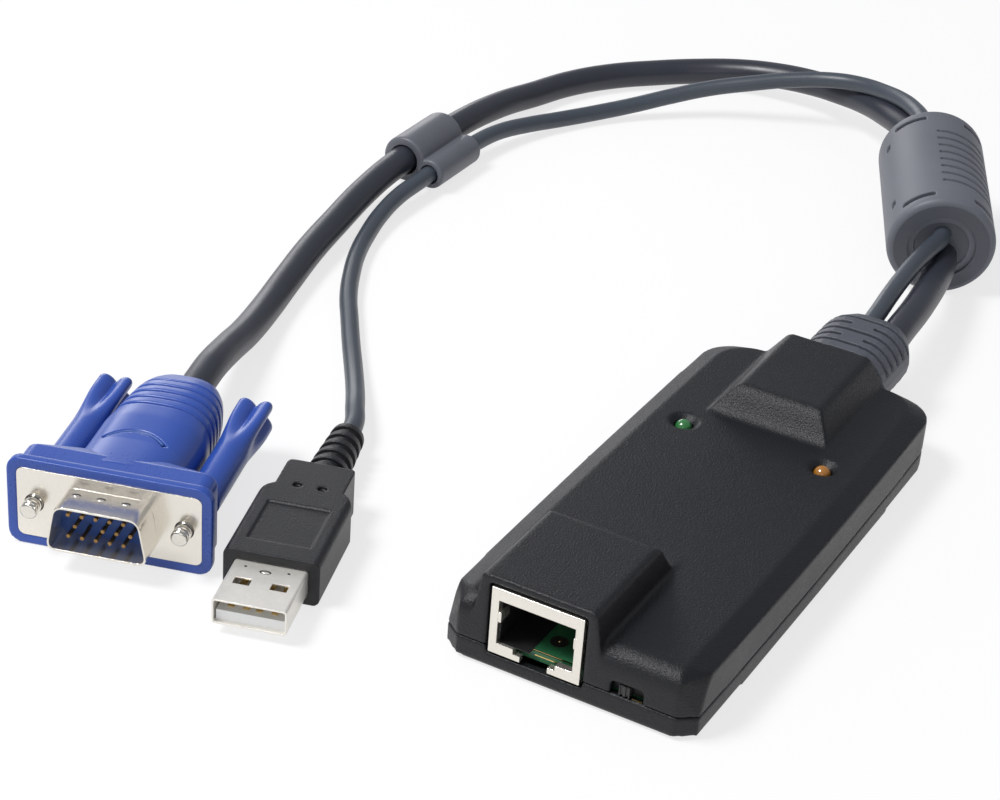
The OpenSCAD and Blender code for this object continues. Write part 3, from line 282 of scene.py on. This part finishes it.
def apply_modifiers(obj):
    graph = bpy.context.evaluated_depsgraph_get()
    mesh = bpy.data.meshes.new_from_object(obj.evaluated_get(graph))
    obj.modifiers.clear()
    obj.data = mesh


def mesh_object(name, bm, mat=None):
    mesh = bpy.data.meshes.new(name)
    bmesh.ops.recalc_face_normals(bm, faces=bm.faces)
    bm.to_mesh(mesh)
    bm.free()
    obj = bpy.data.objects.new(name, mesh)
    scene.collection.objects.link(obj)
    if mat:
        mesh.materials.append(mats[mat])
    return obj


def shade(obj, smooth=True):
    for face in obj.data.polygons:
        face.use_smooth = smooth


def eased(s):
    """From 0 to 1 with a soft start and end"""
    return s * s * (3 - 2 * s)


def loft(bm, rings):
    """Faces from each ring of vertices to the next, and a cap on both ends"""
    count = len(rings[0])
    for a, b in zip(rings, rings[1:]):
        for k in range(count):
            bm.faces.new((a[k], a[(k + 1) % count], b[(k + 1) % count], b[k]))
    bm.faces.new(rings[0])
    bm.faces.new(list(reversed(rings[-1])))


def ring_segment(bm, centre_y, width, r_in, r_out, start, end, steps=24):
    """A piece of a ring about the local Y axis, angles in degrees from +Z towards +X"""
    near = centre_y - width / 2
    far = centre_y + width / 2
    rings = []
    for i in range(steps + 1):
        a = math.radians(start + (end - start) * i / steps)
        rings.append([bm.verts.new((r * math.sin(a) * MM, y * MM, r * math.cos(a) * MM))
                      for r, y in ((r_in, near), (r_out, near), (r_out, far), (r_in, far))])
    loft(bm, rings)


def block(bm, low, high):
    made = bmesh.ops.create_cube(bm, size=1)
    for v in made["verts"]:
        v.co = Vector([(low[k] + (high[k] - low[k]) * (v.co[k] + 0.5)) * MM for k in range(3)])


def disc(bm, r, depth, segments, matrix):
    bmesh.ops.create_cone(bm, cap_ends=True, segments=segments, radius1=r * MM, radius2=r * MM, depth=depth * MM,
                          matrix=matrix)


def swept_rod(bm, points, r, steps=10):
    rings = []
    for i, p in enumerate(points):
        ahead = (Vector(points[min(i + 1, len(points) - 1)]) - Vector(points[max(i - 1, 0)])).normalized()
        x = ahead.cross(UP).normalized()
        y = x.cross(ahead)
        rings.append([bm.verts.new((Vector(p) + (x * math.cos(2 * math.pi * k / steps)
                                                 + y * math.sin(2 * math.pi * k / steps)) * r) * MM)
                      for k in range(steps)])
    loft(bm, rings)


def cut_away(obj, cutter, place=None):
    tool = mesh_object("cutter", cutter)
    if place:
        tool.data.transform(place)
    cut = obj.modifiers.new("cut", "BOOLEAN")
    cut.operation = "DIFFERENCE"
    cut.solver = "EXACT"
    cut.object = tool
    apply_modifiers(obj)
    bpy.data.objects.remove(tool)


def node_copy(node, name):
    obj = bpy.data.objects.new(name, nodes[node].data.copy())
    scene.collection.objects.link(obj)
    return obj


def stand_for(obj, node):
    """Says that a piece takes a CAD node's place, on its body"""
    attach(obj, nodes[node]["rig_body"])
    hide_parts(node)


def dress(obj, node):
    """A finished copy of a CAD node takes its place"""
    obj.data.materials.clear()
    obj.data.materials.append(mats[slots[node]])
    shade(obj)
    stand_for(obj, node)


def soften(node, voxel, passes, cutter=None, place=None):
    """A copy of a CAD node with its marks cut in and its edges rounded as moulded"""
    obj = node_copy(node, node + "_skin")
    if cutter:
        cut_away(obj, cutter, place)
    grid = obj.modifiers.new("grid", "REMESH")
    grid.mode = "VOXEL"
    grid.voxel_size = voxel * MM
    grid.use_smooth_shade = True
    ease = obj.modifiers.new("ease", "SMOOTH")
    ease.factor = 0.5
    ease.iterations = passes
    apply_modifiers(obj)
    dress(obj, node)


def bevelled(node, width):
    """A copy of a CAD node with small rounded edges"""
    obj = node_copy(node, node + "_skin")
    weld = obj.modifiers.new("weld", "WELD")
    weld.merge_threshold = weld_gap * MM
    flat = obj.modifiers.new("flat", "DECIMATE")
    flat.decimate_type = "DISSOLVE"
    flat.angle_limit = math.radians(1.5)
    bevel = obj.modifiers.new("bevel", "BEVEL")
    bevel.width = width * MM
    bevel.segments = 2
    bevel.limit_method = "ANGLE"
    bevel.angle_limit = math.radians(30)
    bevel.use_clamp_overlap = True
    apply_modifiers(obj)
    shade(obj)
    even = obj.modifiers.new("normals", "WEIGHTED_NORMAL")
    even.keep_sharp = True
    apply_modifiers(obj)
    dress(obj, node)


def extra(name, bm, slot, smooth=True, place=None, bevel=0.0, cutter=None):
    """A piece that the CAD model lacks, on the module"""
    obj = mesh_object(name, bm, slot)
    if cutter:
        cut_away(obj, cutter)
    if place:
        obj.data.transform(place)
    if bevel:
        edge = obj.modifiers.new("edge", "BEVEL")
        edge.width = bevel * MM
        edge.segments = 2
        apply_modifiers(obj)
    shade(obj, smooth)
    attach(obj, "module")


def boxes(name, slot, spans, smooth=False, bevel=0.0):
    bm = bmesh.new()
    for low, high in spans:
        block(bm, low, high)
    extra(name, bm, slot, smooth, bevel=bevel)


def dimples(name, places, size, slot, place):
    """Shallow marks that lie on a shell's top"""
    bm = bmesh.new()
    for centre in places:
        made = bmesh.ops.create_uvsphere(bm, u_segments=20, v_segments=10, radius=MM)
        for v in made["verts"]:
            v.co = Vector([c * s for c, s in zip(v.co, size)]) + Vector(centre) * MM
    extra(name, bm, slot, place=place)


# Housing
soften("top_cover", 0.3, 5)
soften("bottom_cover", 0.35, 3)
soften("strain_relief", 0.16, 4)

# Ferrite sleeve with its grooves and slots
beyond = 11.5
cuts = bmesh.new()
for i in range(8):
    ring_segment(cuts, 8.2 + i * 2.8, 0.85, 10.1, beyond, -4, 125)
for y in (3.2, 33.4):
    for start, end in ((-52, -14), (30, 62)):
        ring_segment(cuts, y, 1.3, 9.4, beyond, start, end)
for y in (7.2, 29.4):
    ring_segment(cuts, y, 2.0, 9.9, beyond, -69, -62, 4)
soften("ferrite_overmould", 0.17, 4, cuts, ferrite_place)
# A thin ring of darker rubber on the sleeve's near face: painted shade over the face's outer zone, and its thin
# edges also give the face a slight step
face_shade_ring = bmesh.new()
ring_segment(face_shade_ring, -0.02, 0.08, 6.7, 9.4, 0, 359.9, 96)
extra("ferrite_face_shade", face_shade_ring, "boot_rubber", smooth=False, place=ferrite_place)
lips = bmesh.new()
for y in (1.0, 35.6):
    disc(lips, 5.35, 0.5, 48, moved((0, y, 0)) @ Matrix.Rotation(math.pi / 2, 4, "X"))
extra("ferrite_lips", lips, "boot_rubber", smooth=False, place=ferrite_place)
soften("cord_clip", 0.15, 4)

# Video plug: the block behind the plate
hood_len = 38.4
hood_start = 4.6
block_end = 8.9
behind = bmesh.new()
block(behind, (-10.6, block_end, -9), (10.6, 40, 9))
soften("vga_hood", 0.2, 4, behind, vga_place)

# Hood behind the block, with half its width and height along its length
sections = [
    (hood_start, 9.3, 7.3), (12.5, 9.05, 6.95), (20, 9.05, 6.95), (25, 8.6, 6.8), (30, 8.15, 6.55),
    (33.5, 7.75, 6.2), (36, 7.05, 5.55), (37.6, 6.2, 4.95), (hood_len, 5.4, 4.4),
]
first_taper = 2
hood_proud = 0.1
hood_squareness = 0.72
grooves = [24.4 + 2.3 * n for n in range(5)]
groove_depth = 0.7
groove_spread = 0.24


def hood_size(y):
    """Half the hood's width and height at y"""
    k = max(n for n in range(len(sections) - 1) if sections[n][0] <= y + 1e-6)
    a, b = sections[k], sections[k + 1]
    s = (y - a[0]) / (b[0] - a[0])
    if k == first_taper:
        s = eased(s)
    groove = max(groove_depth * math.exp(-(abs(y - place) / groove_spread) ** 2) for place in grooves)
    return [a[i] + (b[i] - a[i]) * s + hood_proud - groove for i in (1, 2)]


def squared(share):
    return math.copysign(abs(share) ** hood_squareness, share)


def hood_rings(bm, count=240, steps=96):
    rings = []
    for i in range(count):
        y = hood_start + (hood_len - hood_start) * i / (count - 1)
        w, h = hood_size(y)
        turns = [2 * math.pi * n / steps for n in range(steps)]
        rings.append([bm.verts.new((w * squared(math.cos(a)) * MM, y * MM, h * squared(math.sin(a)) * MM))
                      for a in turns])
    return rings


def crescent_point(s):
    """A point of the crescent on the hood's top, for s from -1 to 1"""
    x = -0.35 + 5.35 * s
    return x, 15.1 - 2.6 * s * s, 7.05 * (1 - min(1, abs(x) / 9.15) ** 2.78) ** 0.36 + 0.05


crescent = [crescent_point(i / 12 - 1) for i in range(25)]
hood = bmesh.new()
loft(hood, hood_rings(hood))
tube = bmesh.new()
swept_rod(tube, crescent, 0.5)
extra("vga_hood_back", hood, "blue_plastic", place=vga_place, cutter=tube)
shadow = bmesh.new()
swept_rod(shadow, [(x, y + 0.08, z - 0.36) for x, y, z in crescent[1:-1]], 0.27)
extra("crescent_shade", shadow, "dark_blue_plastic", place=vga_place)

# Marks on the shells of both plugs
vga_marks = (-4.6, -0.5, 3.6)
dimples("vga_shell_dents", [(x, -2.05, 4.2) for x in vga_marks], (0.6, 0.3, 0.1), "bright_nickel", vga_place)
dimples("usb_shell_marks", [(-0.3, 9.2, 2.25)], (0.98, 0.5, 0.06), "insert_plastic", usb_place)
dimples("usb_shell_dots", [(-3.7, 9.9, 2.25), (3.3, 9.9, 2.25)], (0.26, 0.22, 0.06), "insert_plastic", usb_place)
dimples("usb_shell_dent", [(-0.25, 9.1, 2.26)], (0.74, 0.3, 0.08), "satin_nickel", usb_place)
dimples("vga_shell_marks", [(x, -1.8, 4.18) for x in vga_marks], (0.75, 0.4, 0.1), "insert_plastic", vga_place)

# Grips of the screws
grip_x = 12.495
grip_start = 8.2
grip_end = 38
grip_r = 2.95
grip_levels = [grip_start, 8.5] + [9 + i * 0.72 for i in range(40)] + [37.45, 37.8, grip_end]


def grip_radius(y, a):
    """A round shank that grows into four lobes, with a rounded edge at both ends"""
    grown = eased(min(1, max(0, (y - 22.5) / 12)))
    end = min(1, max(0, (y - 37.08) / 0.92))
    lobe = (0.5 - 0.5 * math.cos(4 * a)) ** 0.8
    r = grip_r + 0.9 * grown * lobe - 1.25 * grown * (1 - lobe) - 0.7 * end * end
    return r - 0.25 if y == grip_start else r


def knob(node, x, steps=72):
    bm = bmesh.new()
    rings = []
    for y in grip_levels:
        turns = [2 * math.pi * k / steps for k in range(steps)]
        points = [(x + grip_radius(y, a) * math.cos(a), y, grip_radius(y, a) * math.sin(a)) for a in turns]
        rings.append([bm.verts.new(vga_place @ (Vector(point) * MM)) for point in points])
    loft(bm, rings)
    obj = mesh_object(node + "_skin", bm, slots[node])
    for face in obj.data.polygons:
        face.use_smooth = len(face.vertices) == 4
    stand_for(obj, node)


knob("left_knob", -grip_x)
knob("right_knob", grip_x)


# Pins of the video plug
def islands(bm):
    """The vertices of each joined part, in their order"""
    seen = set()
    for start in bm.verts:
        if start in seen:
            continue
        seen.add(start)
        found = [start]
        for v in found:
            for edge in v.link_edges:
                other = edge.other_vert(v)
                if other not in seen:
                    seen.add(other)
                    found.append(other)
        yield found


def slim_pins(thin=0.66, tip_len=1.5, set_back=0.9):
    """The CAD model's pins, thinner and with their tips set back"""
    bm = bmesh.new()
    bm.from_mesh(nodes["vga_pins"].data)
    bmesh.ops.remove_doubles(bm, verts=bm.verts, dist=weld_gap * MM)
    to_plug = vga_place.inverted()
    for pin in islands(bm):
        local = [to_plug @ v.co for v in pin]
        middle = sum(local, Vector()) / len(local)
        front = min(co.y for co in local)
        for v, co in zip(pin, local):
            if co.y < front + tip_len * MM:
                co.y += set_back * MM
            co.x = middle.x + (co.x - middle.x) * thin
            co.z = middle.z + (co.z - middle.z) * thin
            v.co = vga_place @ co
    stand_for(mesh_object("vga_pins_slim", bm, "pin_gold"), "vga_pins")


slim_pins()
bevelled("vga_shell", 0.12)

# USB plug, socket and switch
soften("usb_overmould", 0.15, 4)
bevelled("usb_shell", 0.06)
bevelled("jack_shield", 0.1)
bevelled("jack_insert", 0.1)
bevelled("switch_slider", 0.08)

# Board seen through the socket, with its pad and edge, and the springs at the sides
pad_at = Vector((-3.9, -43.4, 5.29))
boxes("socket_board", "board_laminate", [((-6.4, -47.2, 5.21), (0.9, -38, 5.27))])
boxes("socket_floor", "insert_plastic", [
    ((-11.7, -48.6, 5.2), (-6.3, -37, 5.32)), ((7.5, -47.45, 4.15), (13.1, -47.3, 6.5)),
])
boxes("socket_board_edge", "contact_gold", [
    ((-6.4, -47.28, 5.24), (0.9, -47.12, 5.3)), ((-6.0, -47.28, 4.3), (-1.4, -47.2, 4.45)),
])
pad = bmesh.new()
disc(pad, 1.45, 0.04, 32, moved(pad_at))
extra("socket_pad", pad, "chip_plastic", smooth=False)
dot = bmesh.new()
bmesh.ops.create_uvsphere(dot, u_segments=16, v_segments=8, radius=0.22 * MM, matrix=moved(pad_at + UP * 0.01))
extra("socket_pad_dot", dot, "contact_gold")
boxes("socket_springs", "bright_nickel", [
    ((-11.8, -49.2, 9.2), (-11.2, -46.5, 11.0)), ((0.75, -48.6, 9.0), (1.2, -46.2, 10.9)),
], smooth=True, bevel=0.1)
boxes("switch_contact", "contact_gold", [((11.1, -48.6, 4.12), (12.8, -48.4, 4.22))])


# Stage and light
floor_half = 6
floor_gray = (0.86, 0.86, 0.86, 1)
floor_glow = 0.74
white = (1, 1, 1, 1)
soft_blue = (0.9, 0.93, 1.0, 1)
soft_strength = 0.38


def empty_tree(owner):
    owner.use_nodes = True
    owner.node_tree.nodes.clear()
    return owner.node_tree


def seen_factor(tree):
    """1 where the camera sees the surface, directly, by gloss or through glass"""
    path = add_node(tree, "ShaderNodeLightPath")
    total = path.outputs["Is Camera Ray"]
    for other in ("Is Glossy Ray", "Is Transmission Ray"):
        larger = add_node(tree, "ShaderNodeMath", operation="MAXIMUM")
        tree.links.new(total, larger.inputs[0])
        tree.links.new(path.outputs[other], larger.inputs[1])
        total = larger.outputs[0]
    return total


def mixed(tree, factor, first, second, output):
    mix = add_node(tree, "ShaderNodeMixShader")
    out = add_node(tree, output)
    tree.links.new(factor, mix.inputs[0])
    tree.links.new(first.outputs[0], mix.inputs[1])
    tree.links.new(second.outputs[0], mix.inputs[2])
    tree.links.new(mix.outputs[0], out.inputs["Surface"])


floor_mat = bpy.data.materials.new("floor")
tree = empty_tree(floor_mat)
share = add_node(tree, "ShaderNodeMath", {1: floor_glow}, "MULTIPLY")
tree.links.new(seen_factor(tree), share.inputs[0])
mixed(tree, share.outputs[0], add_node(tree, "ShaderNodeBsdfDiffuse", {"Color": floor_gray}),
      add_node(tree, "ShaderNodeEmission", {"Strength": 1}), "ShaderNodeOutputMaterial")
bm = bmesh.new()
bmesh.ops.create_grid(bm, x_segments=1, y_segments=1, size=floor_half)
floor = mesh_object("floor", bm)
floor.data.materials.append(floor_mat)

world = scene.world or bpy.data.worlds.new("world")
scene.world = world
tree = empty_tree(world)
path = add_node(tree, "ShaderNodeLightPath")
mixed(tree, path.outputs["Is Camera Ray"],
      add_node(tree, "ShaderNodeBackground", {"Color": soft_blue, "Strength": soft_strength}),
      add_node(tree, "ShaderNodeBackground", {"Color": white, "Strength": 1}), "ShaderNodeOutputWorld")


def area_light(name, place, aim, size, power):
    """A soft rectangular lamp, in metres and watts"""
    data = bpy.data.lights.new(name, "AREA")
    data.shape = "RECTANGLE"
    data.size, data.size_y = size
    data.energy = power
    obj = bpy.data.objects.new(name, data)
    scene.collection.objects.link(obj)
    obj.location = place
    obj.rotation_euler = (Vector(aim) - Vector(place)).to_track_quat("-Z", "Y").to_euler()


area_light("top_light", (-0.48, -0.36, 0.92), (-0.04, 0.03, 0), (0.38, 0.3), 11)
area_light("rear_left_light", (-0.95, 0.95, 0.3), (-0.05, 0.05, 0), (0.6, 0.35), 2.5)
area_light("front_light", (0.35, -1.1, 0.5), (-0.05, 0.0, 0), (0.7, 0.4), 1.5)

scene.view_settings.view_transform = "Standard"
